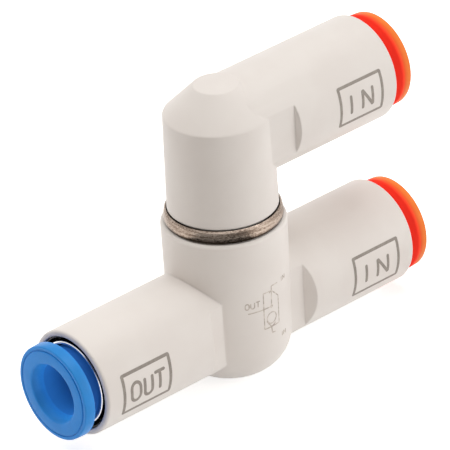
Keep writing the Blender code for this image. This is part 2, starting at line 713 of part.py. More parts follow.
def finish_pieces():
    # Each piece becomes a plain mesh, smooth with sharp edges kept, and the cutters go
    bpy.context.view_layer.update()
    graph = bpy.context.evaluated_depsgraph_get()
    pieces = [item for item in parts.objects if item.type == "MESH"]
    finished = {item.name: bpy.data.meshes.new_from_object(item.evaluated_get(graph)) for item in pieces}
    for item in pieces:
        item.modifiers.clear()
        item.data = finished[item.name]
        item.data.shade_smooth()
        item.data.set_sharp_from_angle(angle=math.radians(30))
        item.data.materials.clear()
        item.data.materials.append(new_finish(item.name, finish_of(item.name)))
    for cutter in list(cutters.objects):
        bpy.data.objects.remove(cutter, do_unlink=True)


clear_scene()
parts = new_collection("shuttle_valve")
cutters = new_collection("cutters")

elbow_frame = new_object("elbow_frame", None, parts)
inlet_frame = port_frame("lower_inlet_frame", IN_MOUTH, ARM_AXIS, 1)
outlet_frame = port_frame("outlet_frame", OUT_MOUTH, ARM_AXIS, -1)
upper_frame = port_frame("upper_inlet_frame", ELBOW_MOUTH, ELBOW_AXIS, 1, elbow_frame)

lower_body(inlet_frame, outlet_frame)
elbow_body(elbow_frame, upper_frame)
swivel_collar()
retaining_clip()
upper_seat()
shuttle()
o_ring("seat_o_ring", SEAT_GROOVE_RADIUS, SEAT_GROOVE_LOW, SEAT_RING_SECTION)
o_ring("swivel_o_ring", SWIVEL_GROOVE_RADIUS, SWIVEL_GROOVE_LOW, SWIVEL_RING_SECTION, elbow_frame)
cartridge("out", outlet_frame)
cartridge("in_lower", inlet_frame)
cartridge("in_upper", upper_frame)
finish_pieces()
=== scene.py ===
from math import ceil, cos, degrees, pi, radians, sin, sqrt, tan

import bpy
from mathutils import Matrix, Vector


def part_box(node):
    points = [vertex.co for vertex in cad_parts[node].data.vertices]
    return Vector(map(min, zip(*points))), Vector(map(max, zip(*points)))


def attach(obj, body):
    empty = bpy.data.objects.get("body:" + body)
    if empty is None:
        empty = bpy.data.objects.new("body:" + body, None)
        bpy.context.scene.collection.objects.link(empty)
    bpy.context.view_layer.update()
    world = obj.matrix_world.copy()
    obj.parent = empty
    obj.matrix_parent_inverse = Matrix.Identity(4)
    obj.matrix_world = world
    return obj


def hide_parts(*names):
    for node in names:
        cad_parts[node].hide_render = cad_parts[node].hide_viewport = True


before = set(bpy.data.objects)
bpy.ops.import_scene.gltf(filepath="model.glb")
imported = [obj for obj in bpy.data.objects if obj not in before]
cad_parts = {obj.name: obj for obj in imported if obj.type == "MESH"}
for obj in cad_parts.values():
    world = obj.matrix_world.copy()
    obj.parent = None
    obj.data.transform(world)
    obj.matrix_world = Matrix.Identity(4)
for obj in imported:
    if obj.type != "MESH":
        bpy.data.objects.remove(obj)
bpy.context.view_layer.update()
bpy.ops.object.select_all(action="DESELECT")
mm = 0.001  # the valve's sizes below are in millimetres
print("frame loaded")


def span(node, axis):
    # Lowest and highest place of a solid along X, Y or Z (0, 1 or 2)
    low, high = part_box(node)
    return low[axis] / mm, high[axis] / mm


def middle(node, axis):
    return sum(span(node, axis)) / 2


# Places that the frame gives
armAxis = middle("release_button_out", 2)
elbowAxis = middle("release_button_in_upper", 2)
barrelTop = span("lower_body", 2)[1]
barrelRadius = span("lower_body", 1)[1]
barrelDraft = 0.24  # how far the side leans in down to the floor
barrelFoot = barrelRadius - barrelDraft
spigotEnd, elbowTop = span("elbow_body", 2)
skirtEnd = span("swivel_collar", 2)[0]
clipLow, clipHigh = span("retaining_clip", 2)
seatLow, seatHigh = span("upper_seat", 2)
shuttleLow, shuttleHigh = span("shuttle", 2)

# Each port has the way it points, its mouth, its axis's height, the bodies that its pieces
# and its button ride on, the button's resin and how far the button sags
ports = {
    "out": {
        "side": -1, "mouth": -span("lower_body", 0)[0], "height": armAxis,
        "body": "barrel", "button": "button_out", "resin": "blue_resin", "droop": 0.13,
    },
    "in_lower": {
        "side": 1, "mouth": span("lower_body", 0)[1], "height": armAxis,
        "body": "barrel", "button": "button_in_lower", "resin": "orange_resin", "droop": 0.13,
    },
    "in_upper": {
        "side": 1, "mouth": span("elbow_body", 0)[1], "height": elbowAxis,
        "body": "elbow", "button": "button_in_upper", "resin": "orange_resin", "droop": 0.0,
    },
}

# Radii, and depths from the mouth face inwards, of what lies in a port
cartridge = {
    "tube": 3.175, "bore": 3.3, "pilot": 3.25, "neck": 4.6, "catch": 5.2, "guide": 4.8,
    "ring": 5.7, "socket": 5.9, "sealBore": 5.3, "arm": 6.6,
    "guideFront": 2.2, "catchFront": 3.5, "guideBack": 4.6,
    "colletFront": 4.8, "colletBack": 8.7, "sealFront": 8.9, "sealBack": 11.1,
    "pilotFront": 11.3, "stop": 14.0,
    "colletEye": 3.475, "colletFloor": 0.2, "clawSlope": 0.6486, "gap": 0.2,
}
overrun = 1.0  # how far a cutter passes the surface that it opens

# Faces round each kind of turned shape
facets = {"body": 160, "bore": 96, "riser": 64, "passage": 48, "collar": 192, "button": 128, "inner": 96}

# Degrees of a rounding's step, and the fewest steps, which all roundings up to the fine radius get
rounding = {"step": 9, "fewest": 3, "fine": 0.25}

# How near two points lie to become one, and how short an edge is to go
merging = {"outline": 0.00001, "turned": 0.001, "seam": 0.002, "sliver": 0.001, "stroke": 0.0005}
slitSides = 6  # a slit of up to so many sides is closed
speck = 0.1  # size of the face that shrinks to a line's first point


def activate(piece):
    bpy.ops.object.select_all(action="DESELECT")
    piece.select_set(True)
    bpy.context.view_layer.objects.active = piece


def edit(piece):
    activate(piece)
    bpy.ops.object.mode_set(mode="EDIT")
    bpy.ops.mesh.select_mode(type="VERT")


def selectAll():
    bpy.ops.mesh.select_all(action="SELECT")


def editAll(piece):
    edit(piece)
    selectAll()


def finishEdit():
    bpy.ops.object.mode_set(mode="OBJECT")


def merge(kind):
    # Joins near points in edit mode, where all that is drawn becomes selected
    selectAll()
    bpy.ops.mesh.remove_doubles(threshold=merging[kind] * mm)


def faceOutwards():
    selectAll()
    bpy.ops.mesh.normals_make_consistent(inside=False)
    finishEdit()


def softened(corners, closed):
    # Corners are (radius, height) or (radius, height, rounding); a rounding becomes an arc
    points = []
    count = len(corners)
    for index, corner in enumerate(corners):
        here = Vector(corner[:2])
        radius = corner[2] if len(corner) > 2 else 0
        if not radius or (not closed and index in (0, count - 1)):
            points.append(here)
            continue
        back = (Vector(corners[index - 1][:2]) - here).normalized()
        ahead = (Vector(corners[(index + 1) % count][:2]) - here).normalized()
        half = back.angle(ahead) / 2
        centre = here + (back + ahead).normalized() * radius / sin(half)
        first = here + back * radius / tan(half) - centre
        last = here + ahead * radius / tan(half) - centre
        steps = rounding["fewest"]
        if radius > rounding["fine"]:
            steps = max(steps, ceil(degrees(pi - 2 * half) / rounding["step"]))
        for step in range(steps + 1):
            points.append(centre + first.slerp(last, step / steps) * radius)
    return points


def drawLine(points):
    # One vertex, extruded from point to point in edit mode
    bpy.ops.mesh.primitive_plane_add(size=speck * mm, location=points[0])
    bpy.ops.mesh.merge(type="CENTER")
    for before, after in zip(points, points[1:]):
        bpy.ops.mesh.extrude_region_move(TRANSFORM_OT_translate={"value": after - before})


def startPiece(name):
    bpy.ops.object.select_all(action="DESELECT")
    bpy.ops.mesh.primitive_plane_add(size=mm)
    piece = bpy.context.object
    piece.name = name
    piece.data.name = name
    editAll(piece)
    bpy.ops.mesh.delete(type="VERT")
    return piece


def turned(name, corners, steps, closed=True):
    # A ring's outline is closed, and a solid's starts and ends on the axis
    points = [Vector((radius * mm, 0, height * mm)) for radius, height in softened(corners, closed)]
    if closed:
        points.append(points[0].copy())
    piece = startPiece(name)
    drawLine(points)
    merge("outline")
    bpy.ops.mesh.spin(steps=steps, angle=2 * pi, center=(0, 0, 0), axis=(0, 0, 1))
    merge("turned")
    faceOutwards()
    return piece


def block(name, low, high):
    centre = [(a + b) / 2 * mm for a, b in zip(low, high)]
    size = [(b - a) * mm for a, b in zip(low, high)]
    bpy.ops.mesh.primitive_cube_add(size=1, location=centre, scale=size)
    piece = bpy.context.object
    piece.name = name
    bpy.ops.object.transform_apply(location=True, rotation=True, scale=True)
    return piece


def applyTurn(piece, turn=(0, 0, 0), move=(0, 0, 0)):
    activate(piece)
    piece.rotation_euler = turn
    piece.location = Vector(move) * mm
    bpy.ops.object.transform_apply(location=True, rotation=True, scale=True)
    return piece


def atPort(piece, port, sag=0.0):
    # The piece was made with its mouth face at zero height and pointing up
    way = ports[port]
    place = (way["side"] * way["mouth"], 0, way["height"] - sag)
    return applyTurn(piece, (0, way["side"] * pi / 2, 0), place)


def atEachPort(piece, pattern, node, finish, rides, slot):
    # The piece was modelled once, and each port gets a copy with its own mesh
    for port, way in ports.items():
        copy = piece.copy()
        copy.data = piece.data.copy()
        copy.name = pattern.format(port)
        copy.data.name = copy.name
        bpy.context.collection.objects.link(copy)
        atPort(copy, port, way["droop"] if rides == "button" else 0.0)
        own = finishes.get(finish + "_" + port) or finishes[finish]
        complete(copy, own, way[rides], node + "_" + port, way.get(slot, slot))
    bpy.data.objects.remove(piece)


def combine(piece, other, how, crossing=False):
    # Crossing is for a piece whose own parts run through each other
    activate(piece)
    step = piece.modifiers.new(how.lower(), "BOOLEAN")
    step.operation = how
    step.object = other
    step.solver = "EXACT"
    step.use_self = crossing
    bpy.ops.object.modifier_apply(modifier=step.name)
    bpy.data.objects.remove(other)
    return piece


def cut(piece, other):
    return combine(piece, other, "DIFFERENCE")


def slotted(piece, count, width, reach, low, high):
    # Each blade crosses the axis and cuts two opposite slots
    for index in range(count // 2):
        blade = block("blade", (-reach, -width / 2, low), (reach, width / 2, high))
        applyTurn(blade, (0, 0, 2 * pi * (index + 0.5) / count))
        cut(piece, blade)
    return piece


def closeSeams(piece):
    # Merges the near-double points that cuts leave, and closes slits of a few sides
    edit(piece)
    merge("seam")
    bpy.ops.mesh.dissolve_degenerate(threshold=merging["sliver"] * mm)
    selectAll()
    bpy.ops.mesh.fill_holes(sides=slitSides)
    faceOutwards()


def complete(piece, finish, body, node, slot, crease=31):
    activate(piece)
    bpy.ops.object.shade_smooth_by_angle(angle=radians(crease))
    piece.data.materials.clear()
    piece.data.materials.append(finish.material)
    if node:
        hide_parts(node)
    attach(piece, body)
    return piece


class Value:
    # One output of a node, with the sums that the finishes use

    def __init__(self, nodes, socket):
        self.nodes = nodes
        self.socket = socket

    def __add__(self, other):
        return self.nodes.sum("ADD", self, other)

    def __radd__(self, other):
        return self.nodes.sum("ADD", other, self)

    def __sub__(self, other):
        return self.nodes.sum("SUBTRACT", self, other)

    def __rsub__(self, other):
        return self.nodes.sum("SUBTRACT", other, self)

    def __mul__(self, other):
        return self.nodes.sum("MULTIPLY", self, other)

    def __rmul__(self, other):
        return self.nodes.sum("MULTIPLY", other, self)


class Nodes:
    # A node tree, where a socket is named by its label or its number

    def __init__(self, tree):
        self.tree = tree

    def feed(self, node, key, value):
        if isinstance(key, int):
            socket = node.inputs[key]
        else:
            socket = next(item for item in node.inputs if item.enabled and item.name == key)
        if isinstance(value, Value):
            self.tree.links.new(value.socket, socket)
        else:
            socket.default_value = value

    def node(self, kind, settings, sockets, output=None):
        made = self.tree.nodes.new(kind)
        for key, value in settings.items():
            setattr(made, key, value)
        for key, value in sockets.items():
            self.feed(made, key, value)
        found = [item for item in made.outputs if item.enabled and output in (None, item.name)]
        return Value(self, found[0])

    def sum(self, operation, first, second):
        return self.node("ShaderNodeMath", {"operation": operation}, {0: first, 1: second})

    def ramp(self, value, low, high, start=0.0, end=1.0):
        sockets = {"Value": value, "From Min": low, "From Max": high, "To Min": start, "To Max": end}
        return self.node("ShaderNodeMapRange", {"interpolation_type": "SMOOTHSTEP"}, sockets)

    def mix(self, share, first, second):
        sockets = {"Factor": share, "A": (*first, 1) if isinstance(first, tuple) else first}
        sockets["B"] = (*second, 1) if isinstance(second, tuple) else second
        return self.node("ShaderNodeMix", {"data_type": "RGBA"}, sockets)


class Finish(Nodes):
    # A material whose patterns lie on the object's own coordinates

    def __init__(self, name, **fixed):
        self.material = bpy.data.materials.new(name)
        self.material.use_nodes = True
        super().__init__(self.material.node_tree)
        self.shader = self.tree.nodes["Principled BSDF"]
        for key, value in fixed.items():
            self.feed(self.shader, key.replace("_", " "), value)
        self.place = self.node("ShaderNodeTexCoord", {}, {}, "Object")

    def noise(self, perMetre, detail=2.0, stretch=(1, 1, 1)):
        scaled = self.node("ShaderNodeMapping", {}, {"Vector": self.place, "Scale": stretch})
        sockets = {"Vector": scaled, "Scale": perMetre, "Detail": detail}
        return self.node("ShaderNodeTexNoise", {}, sockets, "Fac")

    def relief(self, height, depth, edge=0.0, strength=1.0):
        # Bump of that depth in millimetres, on edges softened by the edge radius
        sockets = {"Height": height, "Distance": depth * mm, "Strength": strength}
        if edge:
            sockets["Normal"] = self.node("ShaderNodeBevel", {"samples": 6}, {"Radius": edge * mm})
        self.feed(self.shader, "Normal", self.node("ShaderNodeBump", {}, sockets))

    def axes(self):
        # The three coordinates, in metres
        return [self.node("ShaderNodeSeparateXYZ", {}, {"Vector": self.place}, axis) for axis in "XYZ"]

    def colour(self, value):
        self.feed(self.shader, "Base Color", value)

    def roughness(self, value):
        self.feed(self.shader, "Roughness", value)


def portPlaces(finish, port):
    # Place along the port's axis, and the squared distance from it, in metres
    way = ports[port]
    x, y, z = finish.axes()
    rise = z - way["height"] * mm
    return x * way["side"], y * y + rise * rise


def bodyResinFinish(name, paintedShade):
    look = {
        "pale": (0.81, 0.777, 0.749), "deep": (0.79, 0.752, 0.724), "clouds": 160, "blend": (0.35, 0.65),
        "rough": 0.40, "vary": 0.08, "grain": 11000, "relief": 0.004, "edge": 0.3, "strength": 0.5,
    }
    # The second argument darkens every colour of the resin, as painted shade when it is under 1
    pale, deep = (tuple(part * paintedShade for part in look[key]) for key in ("pale", "deep"))
    finish = Finish(name, IOR=1.28)
    clouds = finish.noise(look["clouds"], detail=3)
    finish.colour(finish.mix(finish.ramp(clouds, *look["blend"]), deep, pale))
    finish.roughness(look["rough"] + look["vary"] * clouds)
    finish.relief(finish.noise(look["grain"], detail=2), look["relief"], look["edge"], look["strength"])
    return finish


def buttonFinish(port, look):
    # Painted glow: the neck, the face and the bore emit a little light, standing in for light that passes
    # through the resin, and the flange's back and the neck are painted in shade
    zones = {
        "flange": look["flange"], "neck": (2.1, 1.4), "face": (2.86, 2.96),
        "boreInside": (-3.5, 1.5), "boreFront": (3.1, 1.4),
    }
    common = {
        "clouds": 400, "blend": (0.3, 0.7), "bore": (4.0, 3.9), "dark": (0.0, 0.0, 0.0), "vary": 0.1,
        "grain": 9000, "relief": 0.003, "edge": 0.06, "strength": 0.5,
    }
    look = {**common, **look}
    finish = Finish(port + "Button", IOR=look["ior"], Emission_Strength=1.0)
    clouds = finish.noise(look["clouds"], detail=3)
    along, reach = portPlaces(finish, port)

    def zone(name):
        start, end = (ports[port]["mouth"] + place for place in zones[name])
        return finish.ramp(along, start * mm, end * mm)

    pale = finish.mix(finish.ramp(clouds, *look["blend"]), look["mild"], look["pale"])
    # Painted shade: the flange's back and the neck, nearer the body, take the deep colour
    finish.colour(finish.mix(zone("flange"), look["deep"], pale))
    # Painted glow: the bore mask, the depth mask and the emission colours below make the neck, the face
    # and the bore glow as if lit through the resin
    bore = finish.ramp(reach, *((radius * mm) ** 2 for radius in look["bore"]))
    depth = zone("boreInside") * zone("boreFront")
    paintedGlow = finish.mix(zone("neck") * (1.0 - bore), look["dark"], look["neckPaintedGlow"])
    paintedGlow = finish.mix(zone("face"), paintedGlow, look["facePaintedGlow"])
    finish.feed(finish.shader, "Emission Color", finish.mix(bore * depth, paintedGlow, look["borePaintedGlow"]))
    finish.roughness(look["rough"] + look["vary"] * clouds)
    finish.relief(finish.noise(look["grain"], detail=2), look["relief"], look["edge"], look["strength"])
    return finish


# The flange's colour turns from deep to pale between these places, counted from the mouth; deep is
# painted shade
buttonLooks = {
    "blue_resin": {
        "pale": (0.032, 0.272, 0.73), "mild": (0.028, 0.252, 0.68), "deep": (0.02, 0.13, 0.47),
        "neckPaintedGlow": (0.004, 0.025, 0.095), "facePaintedGlow": (0.0, 0.004, 0.04),
        "borePaintedGlow": (0.012, 0.085, 0.235), "flange": (1.35, 1.65), "rough": 0.34, "ior": 1.27,
    },
    "orange_resin": {
        "pale": (0.92, 0.235, 0.045), "mild": (0.88, 0.215, 0.037), "deep": (0.84, 0.036, 0.012),
        "neckPaintedGlow": (0.33, 0.014, 0.011), "facePaintedGlow": (0.03, 0.006, 0.0),
        "borePaintedGlow": (0.30, 0.03, 0.006), "flange": (1.4, 2.6), "rough": 0.44, "ior": 1.22,
    },
}


def platedFinish():
    # Worn turned metal, with painted shade: a dark line along its foot and down where it meets the elbow
    look = {
        "bright": (0.46, 0.375, 0.31), "dull": (0.21, 0.155, 0.12), "shadeBrown": (0.06, 0.042, 0.03),
        "streaks": 260, "specks": 3600, "share": 0.9, "blend": (0.75, 1.15), "foot": (20.76, 20.6),
        "jointShade": (6.82, 6.76), "rough": 0.17, "vary": 0.25, "relief": 0.05, "edge": 0.04, "strength": 0.8,
    }
    finish = Finish("nickelPlate", Metallic=1.0)
    streaks = finish.noise(look["streaks"], detail=4, stretch=(1, 1, 12))
    specks = finish.noise(look["specks"], detail=3, stretch=(1, 1, 2))
    worn = finish.ramp(streaks + look["share"] * specks, *look["blend"])
    x, y, z = finish.axes()
    # Painted shade: the foot and the top inner edge by the elbow turn dark, as the shadow of the gaps
    # there
    foot = finish.ramp(z, *(height * mm for height in look["foot"]))
    jointShade = finish.ramp(x * x + y * y, *((radius * mm) ** 2 for radius in look["jointShade"]))
    plate = finish.mix(worn, look["dull"], look["bright"])
    finish.colour(finish.mix(foot + jointShade, plate, look["shadeBrown"]))
    finish.roughness(look["rough"] + look["vary"] * specks)
    finish.relief(specks, look["relief"], look["edge"], look["strength"])
    return finish


def guideFinish(port):
    # Bright on the lip round the button, and painted shade: dark down in the groove and on the sleeve
    # behind it
    look = {
        "bright": (0.88, 0.87, 0.86), "dark": (0.03, 0.028, 0.03), "groove": (5.3, 5.4),
        "deep": (-0.2, -0.42), "grain": 1500, "rough": 0.14, "vary": 0.12, "relief": 0.004,
    }
    finish = Finish(port + "Guide", Metallic=1.0)
    along, reach = portPlaces(finish, port)
    outer = finish.ramp(reach, *((radius * mm) ** 2 for radius in look["groove"]))
    inner = finish.ramp(along, *((ports[port]["mouth"] + place) * mm for place in look["deep"]))
    # Painted shade: past the lip's radius and deeper than its nose the metal is dark
    finish.colour(finish.mix(outer + inner, look["bright"], look["dark"]))
    grain = finish.noise(look["grain"], detail=3)
    finish.roughness(look["rough"] + look["vary"] * grain)
    finish.relief(grain, look["relief"])
    return finish


def innerFinish(name, look, **fixed):
    # One pattern gives the colour and the roughness, and the relief unless there is a finer grain
    finish = Finish(name, **fixed)
    pattern = finish.noise(look["pattern"], detail=3, stretch=look.get("stretch", (1, 1, 1)))
    finish.colour(finish.mix(pattern, look["deep"], look["pale"]))
    finish.roughness(look["rough"] + look["vary"] * pattern)
    finish.relief(finish.noise(look["grain"], detail=2) if "grain" in look else pattern, look["relief"])
    return finish


springLook = {
    "pattern": 2500, "deep": (0.40, 0.40, 0.41), "pale": (0.62, 0.62, 0.63),
    "rough": 0.22, "vary": 0.2, "relief": 0.004,
}
brassLook = {
    "pattern": 300, "stretch": (1, 1, 40), "deep": (0.62, 0.40, 0.15), "pale": (0.78, 0.56, 0.26),
    "rough": 0.18, "vary": 0.2, "relief": 0.006,
}
rubberLook = {
    "pattern": 3500, "deep": (0.014, 0.014, 0.015), "pale": (0.035, 0.034, 0.034),
    "rough": 0.52, "vary": 0.2, "relief": 0.008,
}
naturalLook = {
    "pattern": 500, "grain": 8000, "deep": (0.74, 0.71, 0.64), "pale": (0.84, 0.82, 0.77),
    "rough": 0.4, "vary": 0.15, "relief": 0.003,
}


def inkFinish(name, pale, deep):
    look = {"patches": 2200, "blend": (0.35, 0.7), "rough": 0.55, "vary": 0.15, "relief": 0.003}
    finish = Finish(name, IOR=1.4)
    patches = finish.noise(look["patches"], detail=3)
    finish.colour(finish.mix(finish.ramp(patches, *look["blend"]), deep, pale))
    finish.roughness(look["rough"] + look["vary"] * patches)
    finish.relief(patches, look["relief"])
    return finish


finishes = {
    "body_resin": bodyResinFinish("bodyResin", 1.0),
    # The elbow takes the body's resin painted 3% darker, as painted shade
    "elbow_shaded_resin": bodyResinFinish("elbowShadedResin", 0.97),
    "nickel_plate": platedFinish(),
    "natural_resin": innerFinish("naturalResin", naturalLook, IOR=1.5),
    "spring_steel": innerFinish("springSteel", springLook, Metallic=1.0),
    "black_rubber": innerFinish("blackRubber", rubberLook, IOR=1.52),
    "seat_brass": innerFinish("seatBrass", brassLook, Metallic=1.0),
    "ink": inkFinish("markInk", (0.34, 0.31, 0.28), (0.29, 0.26, 0.235)),
    "faint_ink": inkFinish("symbolInk", (0.70, 0.65, 0.60), (0.47, 0.41, 0.365)),
}
for port, way in ports.items():
    finishes["button_" + port] = buttonFinish(port, buttonLooks[way["resin"]])
    finishes["guide_" + port] = guideFinish(port)
print("finishes made")


def arm(port, size):
    # A round arm with its side flats, still without its bore
    way = ports[port]
    length = way["mouth"]
    radius = cartridge["arm"]
    root = size["root"] - length
    outline = [(0, 0), (radius, 0, size["mouthRound"]), (radius, root), (0, root)]
    piece = atPort(turned("arm", outline, facets["body"], closed=False), port)
    depth = size["flatDepth"]
    lean = size["flatSlope"] * (depth + overrun) / depth
    for face in (-1, 1):
        ends = sorted((0, way["side"] * size["flatReach"]))
        sides = sorted((face * (radius - depth), face * (radius + overrun)))
        low = (ends[0], sides[0], way["height"] - radius - overrun)
        high = (ends[1], sides[1], way["height"] + radius + overrun)
        flat = block("flat", low, high)
        edit(flat)
        bpy.ops.mesh.select_all(action="DESELECT")
        finishEdit()
        for vertex in flat.data.vertices:
            outer = abs(vertex.co.y) > radius * mm and abs(vertex.co.x) > overrun * mm
            vertex.select = outer
        edit(flat)
        bpy.ops.transform.translate(value=(way["side"] * lean * mm, 0, 0))
        finishEdit()
        cut(piece, flat)
    return piece


def socket(port):
    # The stepped bore that takes the cartridge and the tube
    c = cartridge
    outline = [
        (0, overrun), (c["socket"], overrun),
        (c["socket"], -c["sealFront"]), (c["sealBore"], -c["sealFront"]),
        (c["sealBore"], -c["pilotFront"]), (c["pilot"], -c["pilotFront"]),
        (c["pilot"], -c["stop"]), (0, -c["stop"]),
    ]
    return atPort(turned("socket", outline, facets["bore"], closed=False), port)


def passage(radius, start, end, height):
    # A round way along X at that height
    outline = [(0, end), (radius, end), (radius, start), (0, start)]
    piece = turned("passage", outline, facets["passage"], closed=False)
    return applyTurn(piece, (0, pi / 2, 0), (0, 0, height))


def makeBarrel():
    size = {
        "drop": 0.24, "shoulder": 0.5, "footRound": 5.0, "crease": 14,
        "root": 1.0, "mouthRound": 0.3, "flatDepth": 1.5, "flatReach": 7.48, "flatSlope": 0.81,
        "inPassage": 1.3, "outPassage": 1.4, "inHeight": armAxis - 1.9, "outHeight": armAxis + 1.8,
        "chamber": 4.4, "floor": 8.4, "seat": 9.2, "seatLip": 0.7, "seatRound": 0.2, "seatShoulder": 15.0,
        "swivelBore": 5.6, "counterbore": 6.4, "clipShelf": 18.0,
    }
    outline = [
        (0, barrelTop - size["drop"]), (barrelRadius, barrelTop - size["drop"], size["shoulder"]),
        (barrelFoot, 0, size["footRound"]), (0, 0),
    ]
    piece = turned("barrel_body", outline, facets["body"], closed=False)
    for port in ("in_lower", "out"):
        combine(piece, arm(port, size), "UNION")
    for port in ("in_lower", "out"):
        cut(piece, socket(port))
    lip = size["inPassage"] + size["seatLip"]
    chamber = [
        (0, barrelTop + overrun), (size["counterbore"], barrelTop + overrun),
        (size["counterbore"], size["clipShelf"]), (size["swivelBore"], size["clipShelf"]),
        (size["swivelBore"], size["seatShoulder"]), (size["chamber"], size["seatShoulder"]),
        (size["chamber"], size["floor"]), (lip, size["floor"]),
        (lip, size["seat"], size["seatRound"]), (0, size["seat"]),
    ]
    cut(piece, turned("chamber", chamber, facets["bore"], closed=False))
    riser = [
        (0, size["seat"] + overrun), (size["inPassage"] + size["seatRound"], size["seat"] + overrun),
        (size["inPassage"] + size["seatRound"], size["seat"]),
        (size["inPassage"], size["seat"] - size["seatRound"]),
        (size["inPassage"], size["inHeight"]), (0, size["inHeight"]),
    ]
    cut(piece, turned("riser", riser, facets["riser"], closed=False))
    inStop = ports["in_lower"]["mouth"] - cartridge["stop"]
    outStop = ports["out"]["mouth"] - cartridge["stop"]
    inlet = passage(size["inPassage"], -size["inPassage"], inStop + overrun, size["inHeight"])
    cut(piece, inlet)
    outlet = passage(size["outPassage"], -outStop - overrun, overrun - size["chamber"], size["outHeight"])
    cut(piece, outlet)
    closeSeams(piece)
    return complete(piece, finishes["body_resin"], "barrel", "lower_body", "body_resin", size["crease"])


def makeElbow():
    size = {
        "radius": 6.66, "draft": 0.18, "rim": 22.05, "rimRound": 0.05, "neck": 5.95, "foot": 21.3,
        "cap": 2.72, "coneDrop": 3.67, "coneRound": 0.3, "capRound": 0.25, "crease": 14,
        "root": 1.0, "mouthRound": 0.3, "flatDepth": 0.8, "flatReach": 6.89, "flatSlope": 0.28,
        "spigot": 5.4, "spigotRound": 0.15, "clipGroove": 5.0, "ringGroove": 4.3, "ringLow": 16.4,
        "ringHigh": 17.6, "clipShelf": 18.0, "passage": 2.6,
    }
    outline = [
        (0, elbowTop), (size["cap"], elbowTop, size["capRound"]),
        (size["radius"] - size["draft"], elbowTop - size["coneDrop"], size["coneRound"]),
        (size["radius"], size["rim"], size["rimRound"]), (size["neck"], size["rim"]),
        (size["neck"], size["foot"]), (size["spigot"], size["foot"]),
        (size["spigot"], skirtEnd), (size["clipGroove"], skirtEnd),
        (size["clipGroove"], size["clipShelf"]), (size["spigot"], size["clipShelf"]),
        (size["spigot"], size["ringHigh"]), (size["ringGroove"], size["ringHigh"]),
        (size["ringGroove"], size["ringLow"]), (size["spigot"], size["ringLow"]),
        (size["spigot"], spigotEnd, size["spigotRound"]), (0, spigotEnd),
    ]
    piece = turned("elbow_shell", outline, facets["body"], closed=False)
    combine(piece, arm("in_upper", size), "UNION")
    cut(piece, socket("in_upper"))
    upright = [
        (0, elbowAxis), (size["passage"], elbowAxis),
        (size["passage"], spigotEnd - overrun), (0, spigotEnd - overrun),
    ]
    cut(piece, turned("upright", upright, facets["riser"], closed=False))
    stop = ports["in_upper"]["mouth"] - cartridge["stop"]
    level = passage(size["passage"], -size["passage"], stop + overrun, elbowAxis)
    cut(piece, level)
    closeSeams(piece)
    return complete(piece, finishes["elbow_shaded_resin"], "elbow", "elbow_body", "body_resin", size["crease"])


def makeCollar():
    size = {
        "top": 21.93, "inner": 6.82, "edge": 0.05, "shoulder": 21.73, "shoulderRadius": 7.01,
        "shoulderRound": 0.06, "belly": 20.9, "radius": 7.15, "bellyRound": 0.8, "bottom": 20.4,
        "bottomRadius": 7.1, "bottomRound": 0.1, "wall": 6.7, "recess": 6.74, "floor": 21.1,
        "web": 20.9, "bore": 5.6, "skirt": 6.2,
    }
    outline = [
        (size["inner"], size["top"], size["edge"]),
        (size["shoulderRadius"], size["shoulder"], size["shoulderRound"]),
        (size["radius"], size["belly"], size["bellyRound"]),
        (size["bottomRadius"], size["bottom"], size["bottomRound"]),
        (size["wall"], size["bottom"]), (size["wall"], size["web"]), (size["skirt"], size["web"]),
        (size["skirt"], skirtEnd), (size["bore"], skirtEnd), (size["bore"], size["floor"]),
        (size["recess"], size["floor"]), (size["recess"], size["top"]),
    ]
    piece = turned("collar_ring", outline, facets["collar"])
    return complete(piece, finishes["nickel_plate"], "barrel", "swivel_collar", "nickel_plate")


def makeButtons():
    c = cartridge
    size = {
        "foot": 1.12, "neckRound": 0.1, "back": 1.5, "backRound": 0.2, "flange": 5.98,
        "flangeFront": 5.91, "frontRound": 0.15, "rim": 2.95, "rimRound": 0.05, "groove": 2.85,
        "grooveOuter": 5.48, "grooveRound": 0.03, "faceEdge": 5.32, "face": 3.0, "edge": 0.08,
        "flareRadius": 3.8, "flareRound": 0.3, "flareDepth": 0.9, "boreRound": 1.4, "nose": 3.6,
        "noseEnd": -6.469, "slot": 0.7, "slots": 4, "bead": 5.0, "beadFront": -3.7,
        "beadLength": 0.4, "beadRamp": 0.5,
    }
    outline = [
        (size["flareRadius"], size["face"], size["flareRound"]),
        (size["faceEdge"], size["face"], size["edge"]),
        (size["faceEdge"], size["groove"], size["grooveRound"]),
        (size["grooveOuter"], size["groove"], size["grooveRound"]),
        (size["grooveOuter"], size["rim"], size["rimRound"]),
        (size["flangeFront"], size["rim"], size["frontRound"]),
        (size["flange"], size["back"], size["backRound"]), (c["neck"], size["foot"], size["neckRound"]),
        (c["neck"], size["beadFront"]), (size["bead"], size["beadFront"], size["edge"]),
        (size["bead"], size["beadFront"] - size["beadLength"], size["edge"]),
        (c["neck"], size["beadFront"] - size["beadLength"] - size["beadRamp"]),
        (size["nose"], size["noseEnd"]), (c["bore"], size["noseEnd"]),
        (c["bore"], size["face"] - size["flareDepth"], size["boreRound"]),
    ]
    piece = turned("button", outline, facets["button"])
    low = size["noseEnd"] - overrun
    slotted(piece, size["slots"], size["slot"], size["bead"] + overrun, low, -c["guideFront"])
    atEachPort(piece, "button_{}_sleeve", "release_button", "button", "button", "resin")


